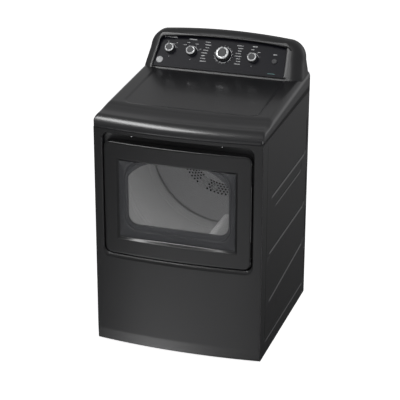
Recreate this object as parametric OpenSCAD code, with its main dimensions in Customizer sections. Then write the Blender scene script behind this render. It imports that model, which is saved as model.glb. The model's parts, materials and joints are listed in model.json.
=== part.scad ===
// Clothes dryer: front-loading tumble dryer with a bowed cabinet and a sloping control console.
// Origin at the floor under the middle of the machine, front towards -Y, +X to the viewer's right.

/* [Cabinet] */
// Width over the side panels
cab_w = 686; // [680:1:700]
// Front plane of the cabinet at its two corners
corner_y = -335; // [-340:1:-330]
// Rear plane of the cabinet
rear_y = 350; // [345:1:355]
// How far the middle of the front stands proud of its corners
bow = 24; // [18:1:30]
// Lower edge of the cabinet above the floor
base_z = 9; // [6:1:12]
// Upper edge of the side and front panels
panel_top = 926; // [920:1:930]
// Sheet steel thickness
sheet = 1; // [0.8:0.1:1.2]

/* [Top cover and console] */
// Overall height
total_h = 1152; // [1145:1:1160]
// Wall of the moulded cover and console
wall = 2.2; // [1.8:0.1:3]
// Rearward rise of the worktop, degrees
top_tilt = 3; // [2:0.5:4]
// Radius of the rolls along the two sides of the worktop
roll_r = 26; // [22:1:40]
// Slope of the control fascia above the horizontal, degrees
fascia_slope = 50; // [46:1:54]

/* [Door] */
// Half width of the door
door_hw = 300; // [296:1:301]
// Lower and upper edge of the door
door_z0 = 403; // [402:1:410]
door_z1 = 872; // [860:1:876]
// Half width of the outer window
win_hw = 245; // [235:1:248]
// Lower and upper edge of the outer window
win_z0 = 468; // [460:1:475]
win_z1 = 805; // [800:1:810]

/* [Drum and drive] */
// Inside radius of the drum
drum_r = 308; // [300:1:310]
// Height of the drum axis
drum_z = 635; // [630:1:638]
// Radius of the motor pulley under the belt
pulley_r = 9.5; // [9:0.5:12]
// Radius of the idler pulley under the belt
idler_r = 35; // [30:1:38]

/* [Hidden] */
$fn = 64;

half_w = cab_w / 2;
bow_r = (half_w * half_w + bow * bow) / (2 * bow);   // radius of the bowed front
bow_y = corner_y - bow + bow_r;                      // its vertical axis lies at x = 0
bow_fn = 720;
lip = 3;                                             // overhang of the top cover
worktop_z = panel_top + 48;                          // worktop level before it is tilted

recess_floor = -314;       // flat floor of the door recess
recess_gap = 6;            // gap between the door and the recess at the sides
recess_z1 = 905;           // the gap above the door is the hand grip
arch_x = 56;               // centres of the two arcs over the arched openings
arch_z = 611;

door_back = -320;          // back of the door's outer frame
glass_y = -343.4;          // front of the outer glass
hinge_x = 290;
hinge_y = -337;
hinge_zs = [480, 795];
knuckle_r = 2.8;
pin_r = 1.6;
slack = 0.05;              // running clearance of pins and shafts

drum_front = -262;
drum_back = 250;
drum_t = 1.2;
disc_r = 206;              // flat perforated middle of the drum's rear wall
disc_y = 290;
shaft_r = 10;
baffle_a = -9;             // first baffle, turned from the bottom of the drum
bulkhead_y = -272;         // front face of the front bulkhead
belt_y0 = 100;
belt_y1 = 114;
belt_gap = 0.35;
belt_t = 1.5;
motor_x = -200;
motor_z = 150;
motor_shaft_r = 6;
idler_x = -105;
idler_z = 120;
pivot_x = -45;
pivot_z = 90;
duct_x = 60;
duct_z = 75;
filter_y = -294;           // middle plane of the lint filter
pan_z = 12;                // underside of the base pan's floor
terminal_x = -235;
cord_z = 152;              // hole for the power cord
cord_r = 11.1;
leg_x = 290;
leg_y0 = -285;
leg_y1 = 300;
leg_r = 5;

fascia_y = 205;            // lower edge of the fascia
fascia_z = 1005;
fascia_t = 3;
// knobs on the fascia: x, distance up the slope, radius
cycle_at = [-3, 82];
temp_at = [-233, 86];
dry_at = [-140, 82];
signal_at = [123, 78];
start_at = [216, 75];
stem_r = 3;

// ---- helpers -------------------------------------------------------------------------------

// an outline drawn in X and Z, extruded from y0 to y1
module along_y(y0, y1) translate([0, y1, 0]) rotate([90, 0, 0]) linear_extrude(y1 - y0) children();

// an outline drawn in Y and Z, extruded from x0 to x1
module along_x(x0, x1) translate([x0, 0, 0]) rotate([90, 0, 90]) linear_extrude(x1 - x0) children();

// a cylinder along Y
module rod_y(x, z, y0, y1, r) translate([x, y1, z]) rotate([90, 0, 0]) cylinder(r = r, h = y1 - y0);

module box(x0, x1, y0, y1, z0, z1) translate([x0, y0, z0]) cube([x1 - x0, y1 - y0, z1 - z0]);

// rectangle with rounded corners, exact arcs
module round_rect(x0, z0, x1, z1, r) {
    translate([x0 + r, z0]) square([x1 - x0 - 2 * r, z1 - z0]);
    translate([x0, z0 + r]) square([x1 - x0, z1 - z0 - 2 * r]);
    for (x = [x0 + r, x1 - r], z = [z0 + r, z1 - r]) translate([x, z]) circle(r);
}

// everything behind the bowed front, set back by d
module bowed(d, z0, z1) translate([0, bow_y, z0]) cylinder(r = bow_r - d, h = z1 - z0, $fn = bow_fn);

// opening with straight sides, round lower corners and an arched top
module arched(hw, z0, r_top, r_low) {
    intersection() {
        round_rect(-hw, z0, hw, 1000, r_low);
        union() {
            translate([-400, 0]) square([800, arch_z]);
            translate([-arch_x, arch_z]) square([2 * arch_x, r_top]);
            for (s = [-1, 1]) translate([s * arch_x, arch_z]) circle(r_top, $fn = 128);
        }
    }
}

module door_outline(d) round_rect(-door_hw + d, door_z0 + d, door_hw - d, door_z1 - d, 28 - d);

module recess_outline(d)
    round_rect(-door_hw - recess_gap - d, door_z0 - 4 - d, door_hw + recess_gap + d, recess_z1 + d, 28 + d);

module window_outline(d)
    translate([-win_hw - d, win_z0 - d]) square([2 * (win_hw + d), win_z1 - win_z0 + 2 * d]);

// the drum side of the door opening
module mouth(d) arched(230 + d, 486 - d, 214 + d, 50 + d);

// X and Y on the fascia, Z out of it
module on_fascia() translate([0, fascia_y, fascia_z]) rotate([fascia_slope, 0, 0]) children();

function arc(cx, cy, r, a0, a1, n) =
    [for (i = [0 : n]) [cx + r * cos(a0 + (a1 - a0) * i / n), cy + r * sin(a0 + (a1 - a0) * i / n)]];

// points on a ring, one child at each of n angles about the drum's axis
module about_drum(n, a0 = 0) for (i = [0 : n - 1])
    translate([0, 0, drum_z]) rotate([0, a0 + i * 360 / n, 0]) children();

// ---- cabinet -------------------------------------------------------------------------------

// side sheet with its flanges, drawn for the right side
module side_panel() {
    x1 = half_w;
    z1 = panel_top - 0.4;
    difference() {
        union() {
            box(x1 - sheet, x1, corner_y + 1.5, rear_y, base_z, z1);
            box(x1 - 18, x1, rear_y - sheet, rear_y, base_z, z1);
            box(x1 - 15, x1, corner_y + 30, rear_y - 2.2, z1 - sheet, z1);
            box(x1 - 15, x1, corner_y + 30, rear_y - 2.2, base_z, base_z + sheet);
            for (g = side_ribs) side_rib(g, x1 - 3.4, x1 - 0.2, 9);
        }
        for (g = side_ribs) side_rib(g, x1 - 2.2, x1 + 1, 7.5);
    }
}

// pressed stiffening ribs in the side sheet: y and z of both ends
side_ribs = [[-204, 665, 300, 665], [318, 690, 318, 814], [-147, 610, 228, 610],
             [-233, 435, 300, 435], [-210, 225, 300, 250], [325, 80, 325, 208]];

module side_rib(g, x0, x1, r) {
    length = norm([g[2] - g[0], g[3] - g[1]]);
    translate([x0, g[0], g[1]]) rotate([atan2(g[3] - g[1], g[2] - g[0]), 0, 0]) {
        translate([0, 0, -r]) cube([x1 - x0, length, 2 * r]);
        for (y = [0, length]) translate([0, y, 0]) rotate([0, 90, 0]) cylinder(r = r, h = x1 - x0);
    }
}

module right_side_panel() color("#2b2b2d") side_panel();

module left_side_panel() color("#2b2b2d") mirror([1, 0, 0]) side_panel();

module base_pan() color("#8d9194") {
    x1 = half_w - sheet - 2.2;
    y0 = corner_y + 6;
    y1 = rear_y - 2.6;
    difference() {
        union() {
            box(-x1, x1, y0, y1, pan_z, pan_z + 1.5);
            for (s = [-1, 1]) box(min(s * x1, s * (x1 - 1.5)), max(s * x1, s * (x1 - 1.5)), y0, y1, pan_z, 34);
            box(-x1, x1, y1 - 1.5, y1, pan_z, 34);
            box(-x1, x1, y0, y0 + 1.5, pan_z, 34);
            for (x = [-leg_x, leg_x], y = [leg_y0, leg_y1]) translate([x, y, pan_z]) cylinder(r = 10, h = 26);
        }
        for (x = [-leg_x, leg_x], y = [leg_y0, leg_y1])
            translate([x, y, 0]) cylinder(r = leg_r + slack, h = 60);
        // the exhaust pipe passes over the rear wall
        rod_y(duct_x, duct_z, y1 - 5, y1 + 5, 50.5);
    }
}

module rear_panel() color("#9a9da0") {
    y1 = rear_y - sheet;
    difference() {
        along_y(y1 - sheet, y1) difference() {
            // stepped in at the top to fit inside the cover
            polygon([[-half_w + 2, base_z], [half_w - 2, base_z], [half_w - 2, panel_top - 1],
                     [half_w - 8, panel_top - 1], [half_w - 8, 962], [290, 1004],
                     [-290, 1004], [8 - half_w, 962], [8 - half_w, panel_top - 1],
                     [2 - half_w, panel_top - 1]]);
            translate([duct_x, duct_z]) circle(52);
            translate([terminal_x - 45, 135]) square(90);
            // air inlet slots
            for (i = [-5 : 5], z = [560, 700]) translate([i * 24 - 4, z - 25]) square([8, 50]);
            for (i = [-7 : 7]) translate([i * 24 + 170 - 3, 300]) square([6, 60]);
        }
    }
}

module front_panel() color("#37373a") {
    x1 = half_w - 0.2;
    inner = x1 - sheet - 0.2;
    difference() {
        union() {
            // bowed face
            difference() {
                intersection() {
                    bowed(0, base_z, panel_top - 2);
                    box(-x1, x1, -400, corner_y + 1.4, base_z, panel_top);
                }
                difference() {
                    bowed(sheet, base_z + sheet, panel_top - 2 - sheet);
                    along_y(-400, 0) recess_outline(sheet);
                }
            }
            // side, top and bottom returns
            for (s = [-1, 1]) translate([s * (inner - sheet / 2), (corner_y - 308) / 2, (base_z + panel_top) / 2])
                cube([sheet, corner_y * -1 - 308, panel_top - base_z - 8], center = true);
            // recess walls and floor
            intersection() {
                bowed(0.5, base_z, panel_top);
                along_y(-400, recess_floor + sheet) recess_outline(sheet);
            }
        }
        along_y(-400, recess_floor) recess_outline(0);
        along_y(-330, -300) mouth(0);
        // strike slot, door switch hole
        box(-272, -252, -330, -300, 620, 660);
        rod_y(-262, 800, -330, -300, 4.6);
    }
}

// hollowed by building it twice: d is the set-back of every face
module cover_body(d) {
    flat_x = half_w - roll_r;
    z1 = worktop_z - d;
    intersection() {
        // side rolls, tilted up to the rear
        translate([0, corner_y, 0]) rotate([top_tilt, 0, 0]) along_y(-60, 760) {
            translate([-half_w + d, 840]) square([cab_w - 2 * d, z1 - roll_r + d - 840]);
            translate([-flat_x, 840]) square([2 * flat_x, z1 - 840]);
            for (s = [-1, 1]) translate([s * flat_x, z1 - roll_r + d]) circle(roll_r - d);
        }
        // front lip, valley and step, turned about the axis of the bowed front
        translate([0, bow_y, 0]) rotate_extrude($fn = bow_fn) polygon(concat(
            [[1000, panel_top - (d > 0 ? 5 : 0)], [bow_r + lip - d, panel_top - (d > 0 ? 5 : 0)]],
            arc(bow_r + lip - 30, panel_top + 12, 30 - d, 0, 90, 10),
            [[bow_r + lip - 76, panel_top + 41.5 - d], [bow_r + lip - 148, panel_top + 52.5 - d],
             [bow_r + lip - 150, 1100], [1000, 1100]]));
        box(-400, 400, -400, rear_y - 1 - (d > 0 ? -5 : 0), 880, 1100);
    }
}

module top_cover() color("#333335") difference() {
    cover_body(0);
    cover_body(wall);
    // shallow field in the worktop
    translate([0, corner_y, 0]) rotate([top_tilt, 0, 0])
        translate([0, 0, worktop_z - 2.5]) linear_extrude(10) round_rect(-281, 135, 281, 700, 45);
    // the console stands in an opening
    console_body(-0.3);
}

// side view of the console: rim in front, crest behind
module console_side(d) polygon(concat(
    [[202 + d, 985 - (d > 0 ? 20 : 0)], [202 + d, fascia_z - 1]],
    arc(325, total_h - 50, 50 - d, 147, 92, 8),
    arc(331, total_h - 15, 15 - d, 88, 10, 5),
    [[rear_y - 1 + (d > 0 ? 5 : 0), total_h - 24 - d], [rear_y - 1 + (d > 0 ? 5 : 0), 985 - (d > 0 ? 20 : 0)]]));

// front view of the console: flared foot, round shoulders, arched top
module console_front(d) {
    r = 68 - d;
    polygon(concat(
        [[-342 + d, 960], [-338.5 + d, 1000], [-333.5 + d, 1030], [-328.5 + d, 1062]],
        arc(-258.5, total_h - 81, r, 170, 96, 10),
        [for (i = [-6 : 6]) [i * 36, total_h - d - i * i / 4]],
        arc(258.5, total_h - 81, r, 84, 10, 10),
        [[328.5 - d, 1062], [333.5 - d, 1030], [338.5 - d, 1000], [342 - d, 960]]));
}

module console_body(d) intersection() {
    along_x(-345, 345) console_side(d);
    along_y(150, 400) console_front(d);
}

// edge of the fascia in its own plane
module fascia_outline(d) polygon([
    [-304 + d, 7 + d], [266 - d, 7 + d], [263 - d, 50], [254 - d, 138 - d], [240 - d, 150 - d],
    [-266 + d, 150 - d], [-280 + d, 138 - d], [-296 + d, 50]]);

module console_housing() color("#3a3a3c") difference() {
    union() {
        difference() {
            console_body(0);
            console_body(wall);
        }
        // walls and ledge of the fascia pocket
        intersection() {
            console_body(0.5);
            on_fascia() translate([0, 0, -fascia_t - 2]) linear_extrude(60) fascia_outline(-wall);
        }
    }
    on_fascia() translate([0, 0, -fascia_t]) linear_extrude(90) fascia_outline(0);
    on_fascia() translate([0, 0, -10]) linear_extrude(20) fascia_outline(7);
}

module console_back_cover() color("#8d9194")
    along_y(rear_y - 2.2, rear_y - 1) difference() {
        intersection() {
            console_front(wall + 0.4);
            translate([-400, 1012]) square([800, total_h - 1033]);
        }
        for (i = [-6 : 6]) translate([i * 40 - 3, 1030]) square([6, 36]);
    }

module control_fascia() color("#232326") difference() {
    on_fascia() translate([0, 0, -fascia_t + 0.1]) linear_extrude(fascia_t - 0.1) fascia_outline(0.3);
    for (k = [cycle_at, temp_at, dry_at, signal_at])
        on_fascia() translate([k[0], k[1], -20]) cylinder(r = stem_r + 1, h = 40);
    on_fascia() translate([start_at[0], start_at[1], -20]) cylinder(r = 11.4, h = 40);
}

module terminal_block() color("#3b2f2a") difference() {
    box(terminal_x - 35, terminal_x + 35, 318, rear_y - 2.6, 172, 212);
    for (x = [-20, 0, 20]) rod_y(terminal_x + x, 192, 300, 335, 4);
}

module terminal_cover() color("#9a9da0") difference() {
    union() {
        box(terminal_x - 50, terminal_x + 50, rear_y - 1, rear_y + 0.2, 128, 232);
        box(terminal_x - 27, terminal_x + 27, rear_y, rear_y + 9, 172, 222);
    }
    box(terminal_x - 25.5, terminal_x + 25.5, rear_y - 2, rear_y + 7.5, 173.5, 220.5);
    rod_y(terminal_x, cord_z, rear_y - 5, rear_y + 5, cord_r);
}

module cabinet_screws() color("#b9bcc0") {
    // two in the lip above the door
    for (x = [-182, 182]) translate([x, -346, recess_z1 - 2.6]) cylinder(r = 4, h = 2.4);
    // rear edge of the cabinet and the console cover
    for (x = [-334, 334], z = [120, 480, 840]) rod_y(x, z, rear_y, rear_y + 2, 4.5);
    for (x = [-280, 0, 280]) rod_y(x, 1080, rear_y - 1, rear_y + 1, 4.5);
    for (a = [45 : 90 : 315])
        rod_y(duct_x + 60 * cos(a), duct_z + 60 * sin(a), rear_y + 1.2, rear_y + 3, 4);
}

// ---- drum support and air path ------------------------------------------------------------

module front_bulkhead() color("#c9ccce") difference() {
    union() {
        box(-332, 332, bulkhead_y, bulkhead_y + sheet, 300, 940);
        rod_y(0, drum_z, bulkhead_y, -240, 300);
        // throat between the front panel and the drum
        along_y(-311.5, bulkhead_y) mouth(1.2);
    }
    rod_y(0, drum_z, bulkhead_y + sheet, -230, 300 - sheet);
    along_y(-320, -230) mouth(0);
    // lint filter slot in the throat, and the grille behind it
    box(-122, 122, filter_y - 9, filter_y + 9, 470, 500);
    for (i = [-8 : 8]) box(i * 13 - 4, i * 13 + 4, -280, -230, 380, 470);
}

module drum_glides() color("#e8e4d8") about_drum(4, 35)
    intersection() {
        difference() {
            rod_y(0, 0, -258, -242, 307.5);
            rod_y(0, 0, -260, -240, 300);
        }
        box(-35, 35, -260, -240, 250, 320);
    }

module front_felt_seal() color("#6b6358") difference() {
    rod_y(0, drum_z, -270.8, -263.5, 309);
    rod_y(0, drum_z, -275, -255, 300);
}

module moisture_sensor() color("#b9bcc0") for (z = [438, 450])
    box(132, 200, bulkhead_y + sheet, bulkhead_y + sheet + 3, z, z + 6);

module lint_duct() color("#8f9295") {
    y0 = -310;
    y1 = bulkhead_y - 0.2;
    difference() {
        union() {
            box(-124, 124, y0, y1, 60, 470);
            box(motor_x - 46, -104, y0, -230, 60, 240);
        }
        box(-122, 122, y0 + 2, y1 - 2, 62, 480);
        box(-118, 118, y1 - 5, y1 + 5, 378, 472);
        box(motor_x - 44, -106, y0 + 2, -232, 62, 238);
        box(-140, -110, y0 + 2, -280, 62, 238);
        rod_y(motor_x, motor_z, -240, -220, 40);
    }
}

module blower_housing() color("#7d8184") difference() {
    union() {
        rod_y(motor_x, motor_z, -229.5, -140, 98);
        box(motor_x, duct_x + 54, -229.5, -140, duct_z - 52, duct_z + 52);
    }
    rod_y(motor_x, motor_z, -227, -142.5, 95.5);
    box(motor_x, duct_x + 51.5, -227, -142.5, duct_z - 49.5, duct_z + 49.5);
    rod_y(motor_x, motor_z, -235, -226, 45);
    rod_y(motor_x, motor_z, -150, -130, 14);
    rod_y(duct_x, duct_z, -150, -130, 46);
}

module exhaust_duct() color("#a9adb0") difference() {
    union() {
        // collar outside, flange on the rear panel, pipe from the blower
        rod_y(duct_x, duct_z, rear_y + 1, rear_y + 12, 50.8);
        rod_y(duct_x, duct_z, rear_y - 0.8, rear_y + 1.2, 70);
        rod_y(duct_x, duct_z, -139.5, rear_y, 49);
    }
    rod_y(duct_x, duct_z, -150, rear_y + 20, 47.8);
}

// round pan behind the drum, closed by the rear panel
module heater_housing() color("#b3b6b8") difference() {
    rod_y(0, drum_z, 299, rear_y - 2.8, 224);
    rod_y(0, drum_z, 290, rear_y - 4.3, 222.5);
    for (i = [-5 : 5], z = [560, 700]) box(i * 24 - 4, i * 24 + 4, 340, 350, z - 25, z + 25);
    rod_y(0, drum_z, 330, 355, shaft_r + 12);
}

module heater_element() color("#c7773a") {
    for (r = [120, 165]) translate([0, 322, drum_z]) rotate([90, 0, 0])
        rotate_extrude() translate([r, 0]) circle(4, $fn = 24);
    about_drum(6) box(108, 176, 324, rear_y - 4.5, -6, 6);
}

module thermostats() color("#d8d2c4") for (x = [-60, 60])
    rod_y(x, drum_z - 190, rear_y - 14, rear_y - 4.3, 12);

module rear_bearing() color("#a08040") difference() {
    union() {
        rod_y(0, drum_z, 312, rear_y - 2.6, 20);
        rod_y(0, drum_z, rear_y - 6, rear_y - 4.4, 40);
    }
    rod_y(0, drum_z, 300, rear_y - 6, shaft_r + slack);
}

// ---- drive ---------------------------------------------------------------------------------

module motor_housing() color("#5b5f63") difference() {
    union() {
        rod_y(motor_x, motor_z, -70, 70, 66);
        rod_y(motor_x, motor_z, -84, 84, 19);
    }
    rod_y(motor_x, motor_z, -90, 90, motor_shaft_r + slack);
    // windings stand clear of the end bells
    for (y = [-66, 40]) difference() {
        rod_y(motor_x, motor_z, y, y + 26, 62);
        rod_y(motor_x, motor_z, y - 1, y + 27, 19);
    }
}

module motor_bracket() color("#8d9194") {
    difference() {
        union() {
            for (y = [-80, 76]) along_y(y, y + 4)
                polygon([[motor_x - 75, pan_z + 1.5], [motor_x + 75, pan_z + 1.5],
                         [motor_x + 24, motor_z + 24], [motor_x - 24, motor_z + 24]]);
            // foot that carries the idler pivot
            box(motor_x - 75, pivot_x + 25, -80, 140, pan_z + 1.5, pan_z + 4.5);
            box(pivot_x - 20, pivot_x + 20, 128, 132, pan_z + 1.5, pivot_z + 14);
        }
        rod_y(motor_x, motor_z, -90, 90, 19.1);
    }
    rod_y(pivot_x, pivot_z, 117, 130, 5);
}

// one loop round drum, motor pulley and idler, all on its inside
module belt_loop(d) hull() {
    translate([0, drum_z]) circle(drum_r + drum_t + belt_gap + d, $fn = 180);
    translate([motor_x, motor_z]) circle(pulley_r + belt_gap + d, $fn = 48);
    translate([idler_x, idler_z]) circle(idler_r + belt_gap + d, $fn = 72);
}

module drive_belt() color("#1c1c1c") along_y(belt_y0, belt_y1) difference() {
    belt_loop(belt_t);
    belt_loop(0);
}

module idler_arm() color("#8d9194") difference() {
    union() {
        along_y(118, 121) hull() {
            translate([pivot_x, pivot_z]) circle(13);
            translate([idler_x, idler_z]) circle(10);
        }
        rod_y(idler_x, idler_z, 94, 121, 4);
        rod_y(idler_x, idler_z, 93, 95, 7);
    }
    rod_y(pivot_x, pivot_z, 110, 125, 5 + slack);
}

module idler_pulley() color("#d9d6cc") difference() {
    union() {
        rod_y(idler_x, idler_z, 97, 116.5, idler_r);
        rod_y(idler_x, idler_z, 97, 99, idler_r + 3);
        rod_y(idler_x, idler_z, 114.5, 116.5, idler_r + 3);
    }
    rod_y(idler_x, idler_z, 90, 120, 4 + slack);
}

// pulls the arm down and the idler against the belt
module idler_spring() color("#b9bcc0") translate([(idler_x + pivot_x) / 2, 119.5, pan_z + 5]) difference() {
    cylinder(r = 5, h = 68);
    translate([0, 0, -1]) cylinder(r = 3.6, h = 70);
}

module motor_shaft() color("#c9ccce") rod_y(motor_x, motor_z, -205, 125, motor_shaft_r);

module motor_pulley() color("#5b5f63") difference() {
    union() {
        rod_y(motor_x, motor_z, 96, 118, pulley_r);
        for (y = [96, 116]) rod_y(motor_x, motor_z, y, y + 2, pulley_r + 2.5);
    }
    rod_y(motor_x, motor_z, 90, 125, motor_shaft_r);
}

module blower_wheel() color("#d9d6cc") difference() {
    union() {
        rod_y(motor_x, motor_z, -158, -155, 82);
        rod_y(motor_x, motor_z, -200, -155, 13);
        difference() {
            rod_y(motor_x, motor_z, -206, -203, 82);
            rod_y(motor_x, motor_z, -210, -200, 60);
        }
        for (a = [0 : 15 : 345]) translate([motor_x, 0, motor_z]) rotate([0, a, 0])
            box(62, 81, -204, -156, -0.8, 0.8);
    }
    rod_y(motor_x, motor_z, -220, -150, motor_shaft_r);
}

// ---- drum ----------------------------------------------------------------------------------

// section of the drum wall: rolled front edge and two stiffening beads
module drum_shell() color("#c4c7c9") translate([0, 0, drum_z]) rotate([90, 0, 0]) rotate_extrude($fn = 180)
    polygon([
        [drum_r, -drum_back], [drum_r + drum_t, -drum_back],
        [drum_r + drum_t, 60], [drum_r + drum_t + 2, 66], [drum_r + drum_t, 72],
        [drum_r + drum_t, 200], [drum_r + drum_t + 2, 206], [drum_r + drum_t, 212],
        [drum_r + drum_t, -drum_front], [drum_r, -drum_front],
        [drum_r, 212], [drum_r + 2, 206], [drum_r, 200],
        [drum_r, 72], [drum_r + 2, 66], [drum_r, 60]]);

module drum_rear_wall() color("#b9bcbe") difference() {
    translate([0, 0, drum_z]) rotate([90, 0, 0]) rotate_extrude($fn = 180) polygon([
        [0, -disc_y], [disc_r, -disc_y], [drum_r - 3, -drum_back], [drum_r + drum_t + 1.5, -drum_back],
        [drum_r + drum_t + 1.5, -drum_back - 1.4], [drum_r - 2, -drum_back - 1.4],
        [disc_r + 1, -disc_y - 1.5], [0, -disc_y - 1.5]]);
    // ten fields of holes
    about_drum(10) for (row = [0 : 2], i = [0 : row + 1])
        rotate([0, (i - (row + 1) / 2) * 6, 0]) translate([0, disc_y + 5, 150 + row * 19])
            rotate([90, 0, 0]) cylinder(r = 4, h = 10, $fn = 8);
    rod_y(0, drum_z, 280, 300, shaft_r);
}

module baffle_section(d) polygon(concat(
    [[-34 + 1.4 * d, 2 - (d > 0 ? 5 : 0)]], arc(0, 52, 12 - d, 160, 20, 6), [[34 - 1.4 * d, 2 - (d > 0 ? 5 : 0)]]));

// hollow lifters on the drum wall
module drum_baffles() color("#e4e4e0") about_drum(3, baffle_a) translate([0, 0, -drum_r + 0.3]) difference() {
    along_y(-235, 225) baffle_section(0);
    along_y(-232, 222) baffle_section(2.5);
}

module drum_shaft() color("#c9ccce") difference() {
    union() {
        rod_y(0, drum_z, disc_y - 8, rear_y - 8, shaft_r);
        rod_y(0, drum_z, disc_y - 8, disc_y - 0.1, 45);
    }
}

// ---- door ----------------------------------------------------------------------------------

module hinge_relief() for (z = hinge_zs) box(hinge_x - 9, 310, hinge_y - knuckle_r - 0.3, -300, z - 34, z + 34);

module door_outer_frame() color("#38383b") difference() {
    intersection() {
        bowed(0, 380, 900);
        along_y(-400, door_back) door_outline(0);
    }
    // hollow behind the skin
    intersection() {
        bowed(3, 380, 900);
        along_y(-400, door_back + 1) difference() {
            door_outline(3);
            window_outline(3);
        }
    }
    along_y(-400, -300) window_outline(0);
    // seat of the glass and of the trim behind it
    along_y(glass_y - 0.1, -300) window_outline(8);
    hinge_relief();
}

module door_outer_glass() color("#20242680") along_y(glass_y, glass_y + 4) window_outline(7.5);

// plate with the arched window, and a wall back from its edge
module door_window_trim() color("#3f4145") difference() {
    along_y(glass_y + 4.1, door_back - 0.2) difference() {
        window_outline(7.5);
        arched(206, 528, 190, 40);
    }
    along_y(glass_y + 6.6, door_back) difference() {
        window_outline(5);
        arched(208.5, 525.5, 192.5, 42.5);
    }
}

module door_inner_glass() color("#20242680") along_y(door_back - 0.1, -316) arched(216, 516, 200, 48);

module door_inner_panel() color("#2e2f31") difference() {
    union() {
        along_y(door_back, door_back + 1.5) door_outline(2);
        along_y(door_back, -306) arched(224, 492, 208, 52);
    }
    along_y(door_back - 1, -316) arched(216.2, 515.8, 200.2, 48.2);
    along_y(-330, -300) arched(212, 520, 196, 44);
    hinge_relief();
}

module door_gasket() color("#1c1c1c") along_y(-318.4, -314.5) difference() {
    arched(247, 470, 231, 67);
    arched(236, 481, 220, 56);
}

// pins turn in the cabinet's brackets
module door_hinge_leaves() color("#8d9194") for (z = hinge_zs) {
    translate([hinge_x, hinge_y, z - 20]) cylinder(r = pin_r, h = 40);
    for (s = [-1, 1]) translate([hinge_x, hinge_y, z + s * 26 - 6]) cylinder(r = knuckle_r, h = 12);
    for (s = [-1, 1]) box(hinge_x - 9.2, hinge_x, hinge_y - 1.5, hinge_y + 1.5, z + s * 26 - 6, z + s * 26 + 6);
}

module hinge_brackets() color("#8d9194") for (z = hinge_zs) difference() {
    union() {
        translate([hinge_x, hinge_y, z - 19]) cylinder(r = knuckle_r, h = 38);
        box(hinge_x - 2.6, hinge_x - 0.6, hinge_y, recess_floor, z - 19, z + 19);
    }
    translate([hinge_x, hinge_y, z - 30]) cylinder(r = pin_r + slack, h = 60);
}

module door_strike() color("#b9bcc0") {
    box(-264, -260, -318.5, -298, 630, 650);
    box(-264, -252, -318.5, -317, 626, 654);
}

module door_catch() color("#e8e4d8") difference() {
    box(-278, -246, recess_floor + sheet + 0.1, -284, 614, 666);
    box(-270, -254, -330, -290, 622, 658);
}

module door_switch_body() color("#e8e4d8") difference() {
    box(-274, -250, recess_floor + sheet + 0.1, -280, 786, 814);
    rod_y(-262, 800, -330, -284, 4 + slack);
}

module door_switch_plunger() color("#f0f0ee") rod_y(-262, 800, -317.6, -290, 4);

// ---- controls ------------------------------------------------------------------------------

// face, grip and skirt of a knob with its stem, on the fascia
module knob(k, r, h) on_fascia() translate([k[0], k[1], 0]) {
    translate([0, 0, 1]) cylinder(r = r, h = 4, $fn = 96);
    translate([0, 0, 5]) cylinder(r = r - 1.5, h = h - 5, $fn = 96);
    translate([0, 0, h]) cylinder(r = r - 4, h = 1, $fn = 96);
    translate([0, 0, -24]) cylinder(r = stem_r, h = 26);
}

module cycle_knob() color("#8b8e92") knob(cycle_at, 28.5, 24);
module temperature_knob() color("#8b8e92") knob(temp_at, 20.5, 22);
module dryness_knob() color("#8b8e92") knob(dry_at, 20.5, 22);
module signal_knob() color("#8b8e92") knob(signal_at, 20.5, 22);

module start_button() color("#8b8e92") on_fascia() translate([start_at[0], start_at[1], 0]) {
    translate([0, 0, -2.5]) cylinder(r = 11, h = 7);
    translate([0, 0, -14]) cylinder(r = stem_r, h = 12);
}

module cycle_timer() color("#e8e4d8") on_fascia() translate([cycle_at[0], cycle_at[1], 0]) difference() {
    translate([-35, -35, -34]) cube([70, 70, 34 - fascia_t]);
    translate([0, 0, -26]) cylinder(r = stem_r + slack, h = 40);
}

module control_switches() color("#e8e4d8") {
    for (k = [temp_at, dry_at, signal_at]) on_fascia() translate([k[0], k[1], 0]) difference() {
        translate([-17, -17, -30]) cube([34, 34, 30 - fascia_t]);
        translate([0, 0, -26]) cylinder(r = stem_r + slack, h = 40);
    }
    on_fascia() translate([start_at[0], start_at[1], 0]) difference() {
        translate([-15, -15, -30]) cube([30, 30, 30 - fascia_t]);
        translate([0, 0, -9]) cylinder(r = 11.4, h = 20);
        translate([0, 0, -19]) cylinder(r = stem_r + slack, h = 30);
    }
}

// ---- lint filter and legs -----------------------------------------------------------------

module lint_filter() color("#c9ccce") {
    difference() {
        box(-110, 110, filter_y - 5, filter_y + 5, 290, 484);
        for (i = [-3 : 3]) box(i * 30 - 13, i * 30 + 13, filter_y - 6, filter_y + 6, 298, 466);
    }
    box(-109, 109, filter_y - 0.5, filter_y + 0.5, 291, 470);
    box(-120, 120, filter_y - 8, filter_y + 8, 478, 484);
}

module leg(x, y) color("#2a2a2a") translate([x, y, 0]) {
    cylinder(r = 18, h = 5);
    translate([0, 0, 5]) cylinder(r = 8, h = 5.5, $fn = 6);
    translate([0, 0, 5]) cylinder(r = leg_r, h = 55);
}

module front_left_leg() leg(-leg_x, leg_y0);
module front_right_leg() leg(leg_x, leg_y0);
module rear_left_leg() leg(-leg_x, leg_y1);
module rear_right_leg() leg(leg_x, leg_y1);

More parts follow.
